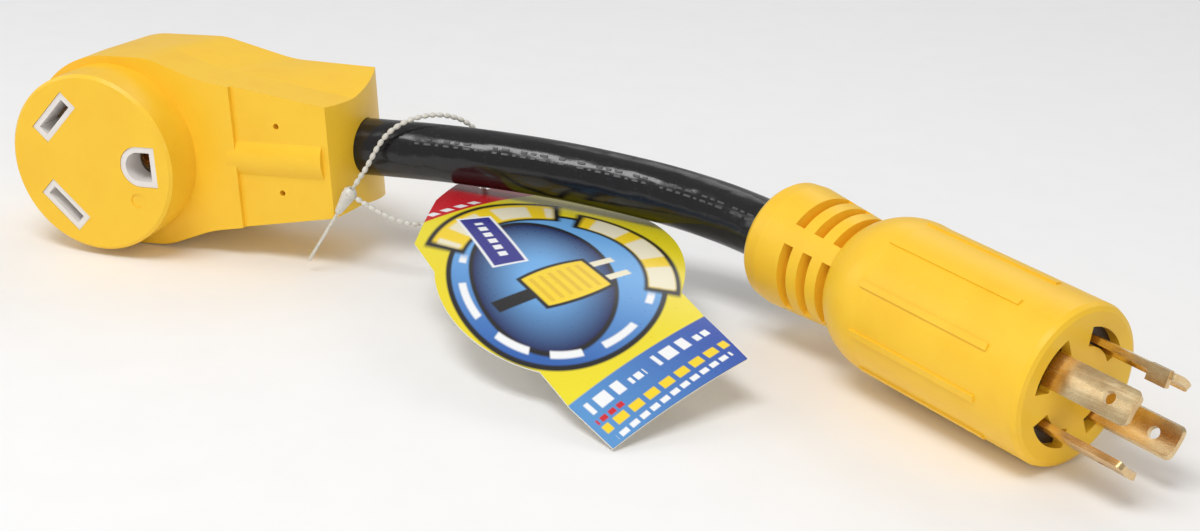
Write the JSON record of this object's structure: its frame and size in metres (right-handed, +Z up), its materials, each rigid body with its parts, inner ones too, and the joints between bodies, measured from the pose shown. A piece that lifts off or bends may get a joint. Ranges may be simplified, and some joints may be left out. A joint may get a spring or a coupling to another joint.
{
  "type": "power adapter dogbone",
  "caption": "Dogbone power adapter: right-angle grip socket and cylindrical locking plug joined by a short black cord, with a hang tag.",
  "frame": {"origin": "middle of the footprint, on the surface that the adapter lies on", "axes": "+X from the socket to the plug, -Y out of the socket's face, +Z up"},
  "size_m": [0.3452, 0.1159, 0.059],
  "materials": {
    "black_jacket": "semi-gloss",
    "brass": "rolled and slightly tarnished",
    "clear_tie": "translucent",
    "dark_insulator": "satin",
    "pale_insulator": "satin",
    "printed_card": "glossy print",
    "yellow_moulding": "satin moulded vinyl"
  },
  "bodies": {
    "adapter": {"cord_jacket": "black_jacket", "plug_carrier": "dark_insulator", "plug_earth_blade": "brass", "plug_housing": "yellow_moulding", "plug_line_blade": "brass", "plug_neutral_blade": "brass", "plug_spare_line_blade": "brass", "socket_carrier": "pale_insulator", "socket_earth_contact": "brass", "socket_hot_contact": "brass", "socket_housing": "yellow_moulding", "socket_neutral_contact": "brass"},
    "tag": {"hang_tag": "printed_card", "tag_tie": "clear_tie", "tie_lock": "clear_tie"}
  },
  "joints": [
    {"name": "tag_swing", "type": "hinge", "parent": "adapter", "child": "tag", "pos_m": [-0.013, 0.043, 0.032], "axis": [0.9978, 0.0269, -0.0608], "range_deg": [-60, 0]}
  ]
}
